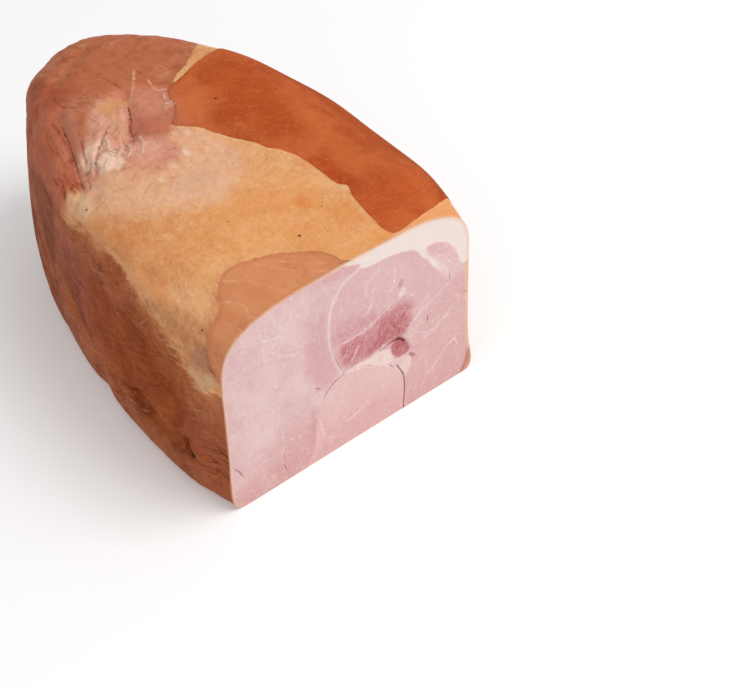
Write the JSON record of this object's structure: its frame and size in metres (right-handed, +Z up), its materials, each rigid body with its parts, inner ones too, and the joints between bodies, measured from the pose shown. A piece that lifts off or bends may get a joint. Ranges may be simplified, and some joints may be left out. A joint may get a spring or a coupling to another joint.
{
  "type": "cooked ham",
  "caption": "Block of boneless cooked ham on its flat underside, cut square across at one end, domed at the other, with a cap of fat and rind over one shoulder.",
  "frame": {"origin": "on the surface the ham lies on, under the middle of its bounding box", "axes": "+Z up; +Y along the ham from the cut to the domed end, so the cut faces -Y; +X to the right seen from the cut"},
  "size_m": [0.2056, 0.312, 0.1577],
  "materials": {
    "lean_meat": "moist cooked meat: pale pink and marbled on the cut, smoked brown outside",
    "fat_cap": "cooked fat: white on the cut, golden on top, with a smooth orange-brown rind"
  },
  "bodies": {
    "root": {"lean_meat": "lean_meat", "fat_cap": "fat_cap"}
  },
  "joints": []
}
